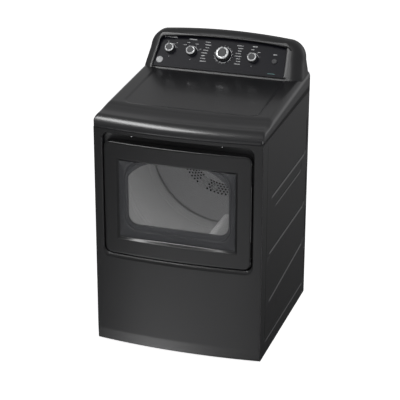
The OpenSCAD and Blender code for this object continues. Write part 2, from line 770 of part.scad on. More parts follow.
base_pan();
left_side_panel();
right_side_panel();
rear_panel();
front_panel();
top_cover();
console_housing();
console_back_cover();
control_fascia();
front_bulkhead();
drum_glides();
front_felt_seal();
moisture_sensor();
lint_duct();
blower_housing();
exhaust_duct();
heater_housing();
heater_element();
thermostats();
rear_bearing();
motor_housing();
motor_bracket();
drive_belt();
idler_spring();
cycle_timer();
control_switches();
terminal_block();
terminal_cover();
hinge_brackets();
door_catch();
door_switch_body();
cabinet_screws();
door_outer_frame();
door_outer_glass();
door_window_trim();
door_inner_glass();
door_inner_panel();
door_gasket();
door_hinge_leaves();
door_strike();
drum_shell();
drum_rear_wall();
drum_baffles();
drum_shaft();
motor_shaft();
motor_pulley();
blower_wheel();
idler_arm();
idler_pulley();
cycle_knob();
temperature_knob();
dryness_knob();
signal_knob();
start_button();
door_switch_plunger();
lint_filter();
front_left_leg();
front_right_leg();
rear_left_leg();
rear_right_leg();
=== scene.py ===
"""Clothes dryer: shells, trim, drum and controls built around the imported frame.

Shapes are in millimetres in the frame's axes: -Y is the front, +X the viewer's right, +Z up.
piece() turns them into metres. Lights, floor and camera are in metres.
"""

import json
import math

import bmesh
import bpy
import numpy as np
from mathutils import Matrix, Vector


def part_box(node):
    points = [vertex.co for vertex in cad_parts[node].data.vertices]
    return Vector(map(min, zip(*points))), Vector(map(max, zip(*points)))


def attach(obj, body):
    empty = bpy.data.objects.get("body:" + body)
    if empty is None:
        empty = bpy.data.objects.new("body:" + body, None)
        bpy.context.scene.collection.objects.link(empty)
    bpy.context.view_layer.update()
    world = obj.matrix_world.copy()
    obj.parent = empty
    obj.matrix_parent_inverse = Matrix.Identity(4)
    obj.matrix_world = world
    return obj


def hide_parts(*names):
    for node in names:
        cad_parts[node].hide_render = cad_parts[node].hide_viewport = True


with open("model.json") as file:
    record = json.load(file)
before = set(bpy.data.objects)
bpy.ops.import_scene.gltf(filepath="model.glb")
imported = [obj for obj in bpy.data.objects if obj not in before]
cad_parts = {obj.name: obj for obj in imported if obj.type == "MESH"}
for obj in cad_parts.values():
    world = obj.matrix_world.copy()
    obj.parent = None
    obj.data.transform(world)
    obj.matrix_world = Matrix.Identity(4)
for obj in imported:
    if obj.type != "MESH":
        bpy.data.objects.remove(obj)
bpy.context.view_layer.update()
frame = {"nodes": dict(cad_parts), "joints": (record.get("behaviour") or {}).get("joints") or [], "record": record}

MM = 0.001


def box_mm(node):
    """Low and high corner of a CAD node."""
    low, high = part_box(node)
    return np.array(low) / MM, np.array(high) / MM


# ---- places read from the frame ---------------------------------------------------------------

SIDE_LOW, SIDE_HIGH = box_mm("right_side_panel")
COVER_HIGH = box_mm("top_cover")[1]
FRONT_LOW, FRONT_HIGH = box_mm("front_panel")
DOOR_LOW, DOOR_HIGH = box_mm("door_outer_frame")
GLASS_LOW, GLASS_HIGH = box_mm("door_outer_glass")
CONSOLE_HIGH = box_mm("console_housing")[1]
DRUM_LOW, DRUM_HIGH = box_mm("drum_shell")
JOINTS = {joint["name"]: joint for joint in frame["joints"]}

HALF_W = SIDE_HIGH[0]
CORNER_Y = SIDE_LOW[1] - 1.5
BOW = CORNER_Y - FRONT_LOW[1]
BOW_R = (HALF_W**2 + BOW**2) / (2 * BOW)
BOW_Y = FRONT_LOW[1] + BOW_R
RECESS_FLOOR = -314.0
ARCH_X, ARCH_Z = 56.0, 611.0
DRUM_Z = JOINTS["drum_spin"]["pos_m"][2] / MM

KNOB_AXIS = np.array(JOINTS["cycle_knob_turn"]["axis"])
FASCIA_ANGLE = math.atan2(-KNOB_AXIS[1], KNOB_AXIS[2])
FASCIA_UP = np.array([0, math.cos(FASCIA_ANGLE), math.sin(FASCIA_ANGLE)])
FASCIA_OUT = np.array([0, -math.sin(FASCIA_ANGLE), math.cos(FASCIA_ANGLE)])
CYCLE_S = 82.0
FASCIA_FOOT = np.array(JOINTS["cycle_knob_turn"]["pos_m"]) / MM * [0, 1, 1] - CYCLE_S * FASCIA_UP


# ---- curves and meshes ------------------------------------------------------------------------


def smoothstep(x, low=0.0, high=1.0):
    t = np.clip((x - low) / (high - low), 0, 1)
    return t * t * (3 - 2 * t)


def smooth_min(a, b, k):
    """The lower of two heights, blended where they are within k of each other."""
    h = np.clip(0.5 + 0.5 * (b - a) / np.maximum(k, 1e-6), 0, 1)
    return b * (1 - h) + a * h - k * h * (1 - h)


def bowed(x, inset=0.0):
    """Y of the bowed front, set back by inset."""
    return BOW_Y - np.sqrt((BOW_R - inset) ** 2 - np.asarray(x) ** 2)


def segment(a, b, n):
    """n points from a towards b, without b."""
    t = np.arange(n)[:, None] / n
    return np.array(a) * (1 - t) + np.array(b) * t


def arc(cx, cz, r, a0, a1, n):
    """n points of an arc from a0 towards a1 degrees, without its end."""
    a = np.radians(a0 + (a1 - a0) * np.arange(n) / n)
    return np.stack([cx + r * np.cos(a), cz + r * np.sin(a)], 1)


def rounded(x0, x1, z0, z1, r, n_arc=10, n_x=28, n_z=36):
    """Closed outline of a rounded rectangle, anticlockwise from its lower left."""
    return np.concatenate([
        segment((x0 + r, z0), (x1 - r, z0), n_x), arc(x1 - r, z0 + r, r, -90, 0, n_arc),
        segment((x1, z0 + r), (x1, z1 - r), n_z), arc(x1 - r, z1 - r, r, 0, 90, n_arc),
        segment((x1 - r, z1), (x0 + r, z1), n_x), arc(x0 + r, z1 - r, r, 90, 180, n_arc),
        segment((x0, z1 - r), (x0, z0 + r), n_z), arc(x0 + r, z0 + r, r, 180, 270, n_arc)])


def arched(hw, z0, r_top, r_low, n_arc=10, n_x=28, n_z=36):
    """Opening with straight sides, round lower corners and two arcs over it, with the same point order."""
    a = math.degrees(math.acos((hw - ARCH_X) / r_top))
    z_side = ARCH_Z + r_top * math.sin(math.radians(a))
    z_top = ARCH_Z + r_top
    return np.concatenate([
        segment((r_low - hw, z0), (hw - r_low, z0), n_x), arc(hw - r_low, z0 + r_low, r_low, -90, 0, n_arc),
        segment((hw, z0 + r_low), (hw, z_side), n_z), arc(ARCH_X, ARCH_Z, r_top, a, 90, n_arc),
        segment((ARCH_X, z_top), (-ARCH_X, z_top), n_x), arc(-ARCH_X, ARCH_Z, r_top, 90, 180 - a, n_arc),
        segment((-hw, z_side), (-hw, z0 + r_low), n_z), arc(r_low - hw, z0 + r_low, r_low, 180, 270, n_arc)])


def ring(outline, y):
    """An outline in X and Z at depth y, a number or one per point."""
    return np.stack([outline[:, 0], np.broadcast_to(y, len(outline)), outline[:, 1]], 1)


def mix(a, b, t):
    return a * (1 - t) + b * t


def roll(radius, steps=4):
    """Insets and set-backs of a quarter round that runs from a wall onto a face."""
    for i in range(steps + 1):
        a = math.pi / 2 * i / steps
        yield radius * (1 - math.cos(a)), radius * (1 - math.sin(a))


def loft(rings, closed=True, cap_ends=False):
    """Vertices and quads of a skin over rings with equal point counts."""
    n = len(rings[0])
    verts = np.concatenate(rings)
    faces = []
    for k in range(len(rings) - 1):
        for i in range(n if closed else n - 1):
            j = (i + 1) % n
            faces.append((k * n + i, k * n + j, (k + 1) * n + j, (k + 1) * n + i))
    if cap_ends:
        faces.append(tuple(reversed(range(n))))
        faces.append(tuple(range((len(rings) - 1) * n, len(rings) * n)))
    return verts, faces


def grid(x, y, z):
    """Vertices and quads of a surface given as three equal 2-D arrays."""
    rows, columns = x.shape
    verts = np.stack([x, y, z], -1).reshape(-1, 3)
    faces = [(r * columns + c, r * columns + c + 1, (r + 1) * columns + c + 1, (r + 1) * columns + c)
             for r in range(rows - 1) for c in range(columns - 1)]
    return verts, faces


def lathe(profile, n=96, start=0.0, sweep=360.0):
    """Profile of (radius, height) turned about +Z, first point to last."""
    closed = sweep >= 360
    count = n if closed else n + 1
    rings = []
    for r, h in profile:
        a = np.radians(start + sweep * np.arange(count) / n)
        rings.append(np.stack([r * np.cos(a), r * np.sin(a), np.full(count, float(h))], 1))
    return loft(rings, closed)


def left_normals(path):
    """Unit normals on the left-hand side of a path of 2-D points."""
    ahead = np.gradient(path, axis=0)
    normal = np.stack([-ahead[:, 1], ahead[:, 0]], 1)
    return normal / np.linalg.norm(normal, axis=1)[:, None]


def graded(low, high, coarse, fine, spans):
    """Increasing positions from low to high, with fine steps inside the spans."""
    positions = [low]
    while positions[-1] < high:
        here = positions[-1]
        close = any(a - coarse <= here <= b for a, b in spans)
        positions.append(here + (fine if close else coarse))
    positions[-1] = high
    return np.array(positions)


def to_fascia(points, centre):
    """Local X, up-slope and outward coordinates to the frame, from a point on the fascia."""
    p = np.asarray(points, float)
    return np.asarray(centre) + p[:, :1] * [1, 0, 0] + p[:, 1:2] * FASCIA_UP + p[:, 2:3] * FASCIA_OUT


def on_fascia(x, s, h=0.0):
    """Point at x, s up the slope of the fascia and h above it."""
    return FASCIA_FOOT + x * np.array([1, 0, 0]) + s * FASCIA_UP + h * FASCIA_OUT


def about_y(points, degrees, x=0.0, z=0.0):
    """Turns points drawn round the Y axis and moves the axis to x, z."""
    a = math.radians(degrees)
    p = np.asarray(points, float)
    return np.stack([x + p[:, 0] * math.cos(a) + p[:, 2] * math.sin(a), p[:, 1],
                     z - p[:, 0] * math.sin(a) + p[:, 2] * math.cos(a)], 1)


# ---- materials --------------------------------------------------------------------------------

MATERIALS = {}


def node(tree, kind, inputs=(), **settings):
    """A shader node whose inputs are set to values or linked from sockets."""
    made = tree.nodes.new(kind)
    for key, value in settings.items():
        setattr(made, key, value)
    for key, value in dict(inputs).items():
        if isinstance(value, bpy.types.NodeSocket):
            tree.links.new(value, made.inputs[key])
        else:
            made.inputs[key].default_value = value
    return made


def material(name, colour, roughness, metallic=0.0, specular=0.5, coat=0.0, alpha=1.0, sheen=0.0,
             blotch=8.0, uneven=0.12, pattern="noise", stretch=(1, 1, 1), contrast=1.0,
             grain=900.0, depth=0.02, polish=0.15):
    """Principled finish whose colour, roughness and relief vary over the surface.

    blotch and grain are the scales of the colour and relief patterns, in cycles per metre;
    uneven and polish are how far colour and roughness vary; depth is the relief in millimetres.
    """
    made = bpy.data.materials.new(name)
    made.use_nodes = True
    tree = made.node_tree
    shader = tree.nodes["Principled BSDF"]
    place = node(tree, "ShaderNodeTexCoord").outputs["Object"]
    place = node(tree, "ShaderNodeMapping", {"Vector": place, "Scale": stretch}).outputs["Vector"]
    if pattern == "spangle":
        cells = node(tree, "ShaderNodeTexVoronoi", {"Vector": place, "Scale": blotch})
        tone = node(tree, "ShaderNodeSeparateColor", {"Color": cells.outputs["Color"]}).outputs["Red"]
    elif pattern == "weave":
        across = [node(tree, "ShaderNodeTexWave", {"Vector": place, "Scale": blotch},
                       bands_direction=axis).outputs["Fac"] for axis in ("X", "Z")]
        tone = node(tree, "ShaderNodeMath", {0: across[0], 1: across[1]}, operation="MULTIPLY").outputs[0]
    else:
        clouds = node(tree, "ShaderNodeTexNoise", {"Vector": place, "Scale": blotch, "Detail": 5.0})
        tone = clouds.outputs["Fac"]
    half = 0.5 / contrast
    tone = node(tree, "ShaderNodeMapRange",
                {"Value": tone, "From Min": 0.5 - half, "From Max": 0.5 + half}).outputs["Result"]
    dark = [c * (1 - uneven) for c in colour] + [1]
    light = [min(1.0, c * (1 + uneven)) for c in colour] + [1]
    shade = node(tree, "ShaderNodeMix", {"Factor": tone, 6: dark, 7: light}, data_type="RGBA").outputs[2]
    tree.links.new(shade, shader.inputs["Base Color"])
    fine = node(tree, "ShaderNodeTexNoise", {"Vector": place, "Scale": grain, "Detail": 3.0}).outputs["Fac"]
    gloss = node(tree, "ShaderNodeMapRange", {
        "Value": fine, "To Min": roughness * (1 - polish), "To Max": min(1.0, roughness * (1 + polish))})
    tree.links.new(gloss.outputs["Result"], shader.inputs["Roughness"])
    relief = tone if pattern == "weave" else fine
    bump = node(tree, "ShaderNodeBump", {"Height": relief, "Distance": depth * MM, "Strength": 1.0})
    tree.links.new(bump.outputs["Normal"], shader.inputs["Normal"])
    shader.inputs["Metallic"].default_value = metallic
    shader.inputs["Specular IOR Level"].default_value = specular
    shader.inputs["Coat Weight"].default_value = coat
    shader.inputs["Coat Roughness"].default_value = 0.12
    shader.inputs["Sheen Weight"].default_value = sheen
    shader.inputs["Alpha"].default_value = alpha
    MATERIALS[name] = made


def make_materials():
    material("cabinet_paint", (0.009, 0.009, 0.0095), 0.32, coat=0.1, depth=0.002, grain=700, polish=0.06)
    material("top_paint", (0.012, 0.012, 0.013), 0.3, coat=0.2, depth=0.001, grain=900, polish=0.04)
    material("console_plastic", (0.011, 0.011, 0.012), 0.4, depth=0.006, grain=1200, polish=0.08)
    material("fascia_film", (0.0065, 0.0065, 0.0098), 0.5, specular=0.15, depth=0.03, grain=1500,
             uneven=0.25, blotch=400)
    material("door_plastic", (0.0075, 0.0075, 0.008), 0.32, coat=0.1, depth=0.003, grain=900, polish=0.06)
    material("trim_plastic", (0.05, 0.051, 0.055), 0.32, depth=0.01, grain=1300)
    material("door_glass", (0.01, 0.011, 0.012), 0.03, alpha=0.12, depth=0.0005, grain=20, uneven=0.05)
    material("galvanised", (0.42, 0.44, 0.45), 0.42, metallic=0.85, pattern="spangle", blotch=70,
             uneven=0.16, depth=0.01)
    material("drum_enamel", (0.42, 0.42, 0.42), 0.35, depth=0.01, grain=400, uneven=0.05)
    material("drum_steel", (0.42, 0.42, 0.425), 0.4, metallic=0.3, depth=0.01, uneven=0.07)
    material("white_plastic", (0.62, 0.62, 0.62), 0.4, depth=0.02, uneven=0.04)
    material("duct_plastic", (0.27, 0.28, 0.29), 0.5, depth=0.03, uneven=0.08)
    material("knob_plastic", (0.02, 0.0205, 0.022), 0.42, depth=0.03, grain=1600, uneven=0.15, blotch=60)
    material("knob_face", (0.05, 0.051, 0.054), 0.5, specular=0.3, depth=0.08, grain=900, blotch=520,
             uneven=0.35, contrast=2.2)
    material("dark_rubber", (0.018, 0.018, 0.018), 0.72, specular=0.3, depth=0.06, grain=700, uneven=0.2)
    material("felt", (0.13, 0.115, 0.1), 0.95, sheen=0.5, depth=0.5, grain=700, uneven=0.3, blotch=250)
    material("bright_steel", (0.62, 0.63, 0.64), 0.24, metallic=1.0, stretch=(1, 14, 1), depth=0.004,
             grain=300, uneven=0.06)
    # chrome of the knob rings: the light-grey diffuse base is painted reflection, standing in for the bright
    # studio seen in the chrome; the metallic part reflects for real
    material("chrome_painted_sheen", (0.85, 0.86, 0.87), 0.2, metallic=0.4, depth=0.002, grain=200, uneven=0.03)
    material("badge", (0.3, 0.305, 0.31), 0.45, metallic=0.3, depth=0.01, grain=900, uneven=0.2, blotch=300)
    material("motor_paint", (0.06, 0.065, 0.07), 0.5, depth=0.03, uneven=0.15)
    material("bearing_bronze", (0.4, 0.26, 0.12), 0.4, metallic=1.0, depth=0.02, uneven=0.12)
    material("scorched_steel", (0.045, 0.043, 0.041), 0.6, metallic=0.5, pattern="spangle", blotch=70,
             uneven=0.2, depth=0.01)
    material("heater_wire", (0.09, 0.065, 0.055), 0.6, metallic=0.8, depth=0.03, uneven=0.35, blotch=60)
    material("filter_mesh", (0.45, 0.47, 0.48), 0.5, pattern="weave", blotch=260, uneven=0.35, depth=0.15)
    material("terminal_phenolic", (0.05, 0.032, 0.022), 0.45, depth=0.04, uneven=0.2)
    material("print_white", (0.62, 0.63, 0.64), 0.55, depth=0.01, uneven=0.12, blotch=900)
    material("print_teal", (0.1, 0.24, 0.23), 0.55, depth=0.01, uneven=0.12, blotch=900)


# ---- pieces -----------------------------------------------------------------------------------


def piece(name, mesh_data, slot, body="cabinet", replaces=(), finish=None, thickness=0.0, sharp=None):
    """A mesh object from (vertices, faces) in millimetres, riding on its body."""
    verts, faces = mesh_data
    mesh = bpy.data.meshes.new(name)
    mesh.from_pydata((np.asarray(verts) * MM).tolist(), [], faces)
    work = bmesh.new()
    work.from_mesh(mesh)
    bmesh.ops.remove_doubles(work, verts=work.verts, dist=1e-6)
    bmesh.ops.recalc_face_normals(work, faces=work.faces)
    work.to_mesh(mesh)
    work.free()
    mesh.shade_smooth()
    if sharp:
        mesh.set_sharp_from_angle(angle=math.radians(sharp))
    mesh.materials.append(MATERIALS[finish or slot])
    made = bpy.data.objects.new(name, mesh)
    bpy.context.scene.collection.objects.link(made)
    if thickness:
        solid = made.modifiers.new("thickness", "SOLIDIFY")
        solid.thickness = thickness * MM
        solid.offset = -1
    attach(made, body)
    if replaces:
        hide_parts(*replaces)


def joined(parts):
    """Several (vertices, faces) as one."""
    verts, faces, base = [], [], 0
    for part_verts, part_faces in parts:
        verts.append(part_verts)
        faces += [tuple(i + base for i in face) for face in part_faces]
        base += len(part_verts)
    return np.concatenate(verts), faces


# ---- cabinet ----------------------------------------------------------------------------------

FOLD_Z = 57.0
FOLD_SLOPE = 0.06


def front_face_y(x, z):
    """Y of the front sheet, which leans back softly below the fold."""
    below = np.logaddexp(0, (FOLD_Z - z) / 1.5) * 1.5
    return bowed(x) + FOLD_SLOPE * below


def make_front_panel():
    hw, z0, z1 = FRONT_HIGH[0], FRONT_LOW[2], FRONT_HIGH[2]
    edge_r, lip_r, floor_r = 2.6, 3.0, 5.0
    door_hw, door_z0 = DOOR_HIGH[0], DOOR_LOW[2]

    def edge(d):
        return rounded(-hw + d, hw - d, z0 + d, z1 - d, max(3.0 - d, 0.2))

    def recess(d):
        return rounded(-door_hw - 6 - d, door_hw + 6 + d, door_z0 - 4 - d, 905 + d, 28 + d)

    def mouth(d):
        return arched(230 + d, 486 - d, 214 + d, 50 + d)

    rings = [ring(edge(0), CORNER_Y + 26), ring(edge(0), CORNER_Y + 9)]
    for inset, back in roll(edge_r):
        outline = edge(inset)
        rings.append(ring(outline, front_face_y(outline[:, 0], outline[:, 1]) + back))
    # closely spaced where the rings cross the fold
    for t in (0.03, 0.06, 0.085, 0.105, 0.116, 0.123, 0.13, 0.141, 0.16,
              0.2, 0.3, 0.42, 0.55, 0.68, 0.8, 0.9, 0.96):
        outline = mix(edge(edge_r), recess(lip_r), t)
        rings.append(ring(outline, front_face_y(outline[:, 0], outline[:, 1])))
    for inset, back in [(lip_r - b, lip_r - i) for i, b in reversed(list(roll(lip_r)))]:
        outline = recess(inset)
        rings.append(ring(outline, front_face_y(outline[:, 0], outline[:, 1]) + back))
    wall = recess(0)
    lip_y = bowed(wall[:, 0]) + lip_r
    for t in (0.33, 0.66, 1.0):
        rings.append(ring(wall, mix(lip_y, RECESS_FLOOR - floor_r, t)))
    for inset, back in roll(floor_r):
        rings.append(ring(recess(-inset), RECESS_FLOOR - back))
    for t in (0.2, 0.45, 0.7, 0.9):
        rings.append(ring(mix(recess(-floor_r), mouth(5), t), RECESS_FLOOR))
    for inset, back in ((5, 0), (3.6, -1.6), (1.8, -2.2), (0.5, -1.4), (0, 0.4), (0, 5)):
        rings.append(ring(mouth(inset), RECESS_FLOOR + back))
    piece("front_panel_sheet", loft(rings), "cabinet_paint", replaces=["front_panel"], thickness=0.9)


# pressed lines in the side sheets: points in Y and Z, half width, depth
SIDE_RIBS = [
    ([(-204, 665), (285, 665), (308, 676), (318, 700), (318, 814)], 7.0, 3.0),
    ([(-147, 610), (222, 610), (236, 618), (240, 638)], 5.5, 2.2),
    ([(-240, 423), (-226, 435), (277, 435), (308, 448), (322, 478), (322, 573)], 7.0, 3.0),
    ([(-210, 225), (280, 262), (310, 280), (325, 310), (325, 397)], 7.0, 3.0),
    ([(-252, 66), (305, 66), (325, 82), (325, 208)], 6.0, 2.4),
    ([(-275, 87), (-275, 893)], 4.0, 1.2),
]


def line_distance(y, z, points):
    """Distance from each grid point to a polyline."""
    nearest = np.full(y.shape, 1e9)
    for (ay, az), (by, bz) in zip(points, points[1:]):
        dy, dz = by - ay, bz - az
        t = np.clip(((y - ay) * dy + (z - az) * dz) / (dy * dy + dz * dz), 0, 1)
        nearest = np.minimum(nearest, np.hypot(y - ay - t * dy, z - az - t * dz))
    return nearest


def make_side_panels():
    y0, y1 = SIDE_LOW[1] + 0.6, SIDE_HIGH[1] - 0.2
    z0, z1 = SIDE_LOW[2], SIDE_HIGH[2]
    ys = graded(y0, y1, 14.0, 2.8, [(y0, y0 + 6), (-284, -266), (205, 345)])
    zs = graded(z0, z1, 14.0, 2.8, [(z0, z0 + 6), (54, 90), (208, 292), (424, 446), (600, 622), (655, 680),
                                    (z1 - 6, z1)])
    yy, zz = np.meshgrid(ys, zs)
    dent = np.zeros(yy.shape)
    for points, half, depth in SIDE_RIBS:
        dent = np.maximum(dent, depth * (1 - smoothstep(line_distance(yy, zz, points), 0, half)))
    for y, z in ((-233, 255), (-127, 173), (281, 166)):
        dent = np.maximum(dent, 1.2 * (1 - smoothstep(np.hypot(yy - y, zz - z), 2, 6)))
    front_edge = 3.0 * (1 - np.sqrt(1 - np.clip(1 - (yy - y0) / 3.0, 0, 1) ** 2))
    rear_edge = 3.0 * (1 - np.sqrt(1 - np.clip(1 - (y1 - yy) / 3.0, 0, 1) ** 2))
    xx = HALF_W - 0.1 - dent - 0.4 * front_edge - rear_edge
    for side, name in ((1, "right_side_panel"), (-1, "left_side_panel")):
        piece(name.replace("panel", "sheet"), grid(side * xx, yy, zz), "cabinet_paint", replaces=[name],
              thickness=0.9)


WORKTOP_Z, WORKTOP_Y = 979.0, -260.0
WORKTOP_SLOPE = math.tan(math.radians(3))
ROLL_R = 26.0
LIP, LIP_DEPTH = 3.0, 38.0
SKIRT_Z = FRONT_HIGH[2] - 2.0


def worktop(y):
    """Height of the sloping worktop."""
    return WORKTOP_Z + (y - WORKTOP_Y) * WORKTOP_SLOPE


def cover_height(x, y, d):
    """Height of the cover at x, y; d is the distance behind its front edge."""
    ahead = 1 - np.clip(d, 0, LIP_DEPTH) / LIP_DEPTH
    lip = 934 + 34 * np.clip(1 - ahead**1.6, 0, 1) ** (1 / 1.6)
    valley = lip - 0.8 * smoothstep(d, LIP_DEPTH, 70) + 11.5 * smoothstep(d, 74, 150)
    base = mix(valley, worktop(y), smoothstep(d, 125, 158))
    out = np.clip(np.abs(x) - (HALF_W - ROLL_R), 0, ROLL_R)
    drop = ROLL_R - np.sqrt(ROLL_R**2 - out**2)
    rolled = smooth_min(base, worktop(y) - drop, 12 * smoothstep(drop, 0, 6) + 0.01)
    # shallow field in the worktop
    corner = 45.0
    reach = np.hypot(np.maximum(np.abs(x) - (281 - corner), 0), np.maximum(-200 + corner - y, 0)) - corner
    return rolled - 2.2 * (1 - smoothstep(reach, -14, 0))


def make_top_cover():
    rear = COVER_HIGH[1]
    corner_r = 11.0
    t = np.linspace(0, math.pi / 2, 13)
    edge_x = HALF_W - ROLL_R * (1 - np.cos(t))          # crowded towards the side
    middle = graded(0, HALF_W - ROLL_R, 13, 3, [(228, 303)])
    xs = np.concatenate([edge_x, [HALF_W - e for e in (0.15, 1.2, 2.5)], middle])
    xs = np.unique(np.round(xs, 3))
    xs = np.concatenate([-xs[:0:-1], xs])
    depth = np.concatenate([LIP_DEPTH * (1 - np.cos(t)), graded(41, 700, 14, 3, [(41, 220)])])
    depth = np.unique(np.round(depth, 3))
    e = np.clip(HALF_W - np.abs(xs), 0, corner_r)
    front_y = bowed(xs, -LIP) + corner_r - np.sqrt(corner_r**2 - (corner_r - e) ** 2)
    share = depth / depth[-1]
    yy = front_y[None, :] + depth[:, None] + share[:, None] ** 3 * (rear - front_y - depth[-1])[None, :]
    xx = np.broadcast_to(xs, yy.shape)
    distance = yy - bowed(xx, -LIP)
    zz = cover_height(xx, yy, distance)
    top = grid(xx, yy, zz)
    # skirt down from the front and side edges
    rim = np.concatenate([
        np.stack([xx[::-1, 0], yy[::-1, 0], zz[::-1, 0]], 1),
        np.stack([xx[0, 1:-1], yy[0, 1:-1], zz[0, 1:-1]], 1),
        np.stack([xx[:, -1], yy[:, -1], zz[:, -1]], 1)])
    low = rim.copy()
    low[:, 2] = SKIRT_Z
    skirt = loft([mix(rim, low, k) for k in (0, 0.1, 0.5, 1)], closed=False)
    piece("top_cover_sheet", joined([top, skirt]), "top_paint", replaces=["top_cover"], thickness=1.6)


RIM_Y, RIM_Z, RIM_LEAN = 203.0, 1003.0, 0.656
RIM_OUT = np.array([0, -1, RIM_LEAN]) / math.hypot(1, RIM_LEAN)


def console_outline():
    """Front view of the console from its left foot over the top to its right foot, with outward normals."""
    top, shoulder_x, shoulder_r = CONSOLE_HIGH[2], 258.5, 68.0
    shoulder_z = top - 13 - shoulder_r
    foot = np.array([(343, 945), (338.5, 1000), (333.4, 1030), (327.7, 1062)], float)
    t = np.linspace(0, 1, 36)[:-1]
    side_z = mix(foot[0, 1], foot[-1, 1], t)
    side = np.stack([np.interp(side_z, foot[:, 1], foot[:, 0]), side_z], 1)
    shoulder = arc(shoulder_x, shoulder_z, shoulder_r, 0, 84, 20)
    across = np.linspace(shoulder_x, 0, 29)
    crown = np.stack([across, top - 13 * (across / shoulder_x) ** 2], 1)
    right = np.concatenate([side, shoulder + [1.2, 0] * np.linspace(1, 0, 20)[:, None], crown])
    path = np.concatenate([right * [-1, 1], right[-2::-1]])
    return path, left_normals(path)


def fascia_edge(grow, right_extra, n_side, n_corner, n_top):
    """Edge of the fascia pocket in the fascia's plane, from its left foot over the top to its right."""
    heights = mix(7, 136, np.linspace(0, 1, n_side + 1)[:-1])
    knots = (7, 50, 132)
    left_side = np.stack([np.interp(heights, knots, (-304, -296, -281.5)), heights], 1)
    right_side = np.stack([np.interp(heights, knots, (266, 263, 255.5)), heights], 1)
    left_corner = arc(-266.5, 136, 14, 180, 90, n_corner)
    right_corner = arc(240.5, 136, 14, 0, 90, n_corner)
    top = np.stack([np.linspace(-266.5, 240.5, n_top), np.full(n_top, 150.0)], 1)
    path = np.concatenate([left_side, left_corner, top, right_corner[::-1], right_side[::-1]])
    normal = left_normals(path)
    extra = right_extra * np.clip(normal[:, 0], 0, 1) * grow
    out = path + normal * (3.0 * grow + extra)[:, None]
    out[:, 1] = np.maximum(out[:, 1], 7 - 5 * grow)
    return out


def rim_height(s):
    """Distance from the fascia's plane to the rim's plane, s up the slope."""
    start = FASCIA_FOOT + s[:, None] * FASCIA_UP
    gap = (start - [0, RIM_Y, RIM_Z]) @ RIM_OUT
    return -gap / (FASCIA_OUT @ RIM_OUT)


def make_console():
    path, normal = console_outline()
    side_out = np.stack([normal[:, 0], np.zeros(len(normal)), normal[:, 1]], 1)
    rear = CONSOLE_HIGH[1]
    radius = 46.0
    back_r = 14.0
    base = np.stack([path[:, 0], np.zeros(len(path)), path[:, 1]], 1) - radius * side_out
    # centre of the ball that rolls along the edge between the side and the rim
    gap = (base - [0, RIM_Y, RIM_Z]) @ RIM_OUT + radius
    centre = base - (gap / RIM_OUT[1])[:, None] * [0, 1, 0]
    rings = []
    rear_roll = [(back_r - b, back_r - i) for i, b in roll(back_r, 7)]
    for inset, back in [(back_r + 3, 1.0)] + rear_roll[::-1]:
        rings.append(np.stack([path[:, 0] - inset * normal[:, 0], np.full(len(path), rear - back),
                               path[:, 1] - inset * normal[:, 1]], 1))
    angle = np.arccos(np.clip(side_out @ RIM_OUT, -1, 1))
    for t in np.linspace(0, 1, 11):
        turn = (np.sin((1 - t) * angle) / np.sin(angle))[:, None] * side_out
        turn = turn + (np.sin(t * angle) / np.sin(angle))[:, None] * RIM_OUT
        rings.append(centre + radius * turn)
    n_side, n_corner = 35, 20
    n_top = len(path) - 2 * (n_side + n_corner)
    rim = rings[-1]
    edge = []
    for grow, share in ((1.0, 1.0), (0.62, 0.97), (0.3, 0.88), (0.1, 0.72), (0.02, 0.5),
                        (0.0, 0.25), (0.0, -0.12)):
        flat = fascia_edge(grow, 11.0, n_side, n_corner, n_top)
        height = rim_height(flat[:, 1]) * share
        edge.append(to_fascia(np.column_stack([flat, height]), FASCIA_FOOT))
    for t in (0.3, 0.6, 0.85):
        rings.append(mix(rim, edge[0], t))
    rings += edge
    # the foot of every ring is closed by a straight run from right to left
    foot = np.linspace(0, 1, 22)[1:-1, None]
    closed = [np.concatenate([r, mix(r[-1], r[0], foot)]) for r in rings]
    piece("console_shell", loft(closed), "console_plastic", replaces=["console_housing"], thickness=1.4)


def make_console_back():
    """Plate that closes the console from behind, with a row of upright louvre hoods."""
    path, normal = console_outline()
    rear = CONSOLE_HIGH[1]
    rings = []
    for inset, back in ((15.0, 3.0), (15.0, 1.4), (15.6, 0.8), (17.0, 0.6), (40.0, 0.6), (60.0, 0.6)):
        outline = path - inset * normal
        outline[:, 1] = np.maximum(outline[:, 1], 1000 + inset)
        rings.append(ring(outline, rear - back))
    parts = [loft(rings, cap_ends=True)]
    for x in np.arange(-240, 241, 40):
        hood = []
        for z in np.linspace(1048, 1084, 9):
            swell = math.sqrt(max(0.0, 1 - ((z - 1066) / 18) ** 4))
            a = np.radians(np.linspace(0, 180, 9))
            hood_y = rear - 0.8 + 2.0 * swell * np.sin(a)
            hood.append(np.stack([x + 3.4 * np.cos(a), hood_y, np.full(9, z)], 1))
        parts.append(loft(hood, closed=False))
    piece("console_back_plate", joined(parts), "galvanised", replaces=["console_back_cover"])


make_materials()
make_front_panel()
make_side_panels()
make_top_cover()
make_console()
make_console_back()


# ---- door -------------------------------------------------------------------------------------


# heights of the hinges, and the limits of the notches round them in the door's edge
HINGE_ZS = (480, 795)
NOTCH_HALF, NOTCH_X, NOTCH_Y = 36, 280, -340.4


